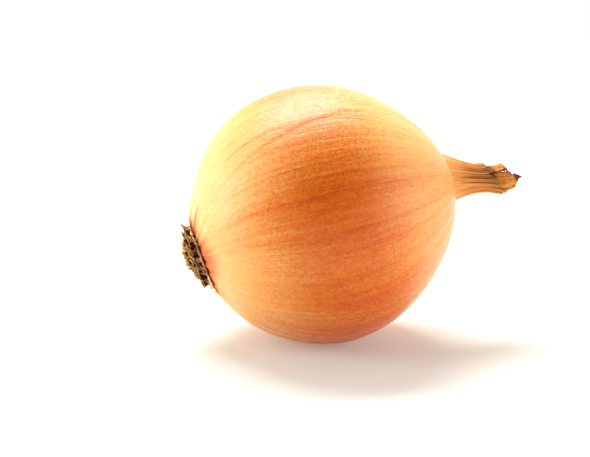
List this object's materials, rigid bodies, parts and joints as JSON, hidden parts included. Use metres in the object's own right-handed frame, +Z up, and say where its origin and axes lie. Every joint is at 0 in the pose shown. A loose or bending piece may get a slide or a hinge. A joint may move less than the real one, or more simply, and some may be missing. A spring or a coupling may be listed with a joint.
{
  "type": "onion",
  "caption": "Whole yellow onion in its dry papery skin, lying on its side on a small flat spot, with a dried neck and a corky root plate.",
  "frame": {"origin": "middle of the small flat spot on the underside that the onion rests on", "axes": "+Z up, away from the ground; +X along the ground from the root plate towards the neck, which is raised 16 degrees; +Y to the side"},
  "size_m": [0.0934, 0.0696, 0.0683],
  "materials": {
    "skin": "satin dry skin, golden orange with fine lengthwise fibres and reddish veins",
    "cork": "rough, dry, dark brown cork",
    "dried_root": "dry, brittle, pale brown",
    "old_skin": "thin, dry, pale straw",
    "dried_leaf": "withered, tan with dark brown edges"
  },
  "bodies": {
    "root": {"bulb": "skin", "root_plate": "cork", "skin_collar": "old_skin", "root_01": "dried_root", "root_02": "dried_root", "root_03": "dried_root", "root_04": "dried_root", "root_05": "dried_root", "root_06": "dried_root", "root_07": "dried_root", "root_08": "dried_root", "root_09": "dried_root", "root_10": "dried_root", "root_11": "dried_root", "root_12": "dried_root", "root_13": "dried_root", "root_14": "dried_root", "root_15": "dried_root", "root_16": "dried_root", "root_17": "dried_root", "root_18": "dried_root", "root_19": "dried_root", "root_20": "dried_root", "root_21": "dried_root", "root_22": "dried_root", "root_23": "dried_root", "root_24": "dried_root", "root_25": "dried_root", "root_26": "dried_root", "root_27": "dried_root", "root_28": "dried_root", "leaf_end_1": "dried_leaf", "leaf_end_2": "dried_leaf", "leaf_end_3": "dried_leaf"}
  },
  "joints": []
}
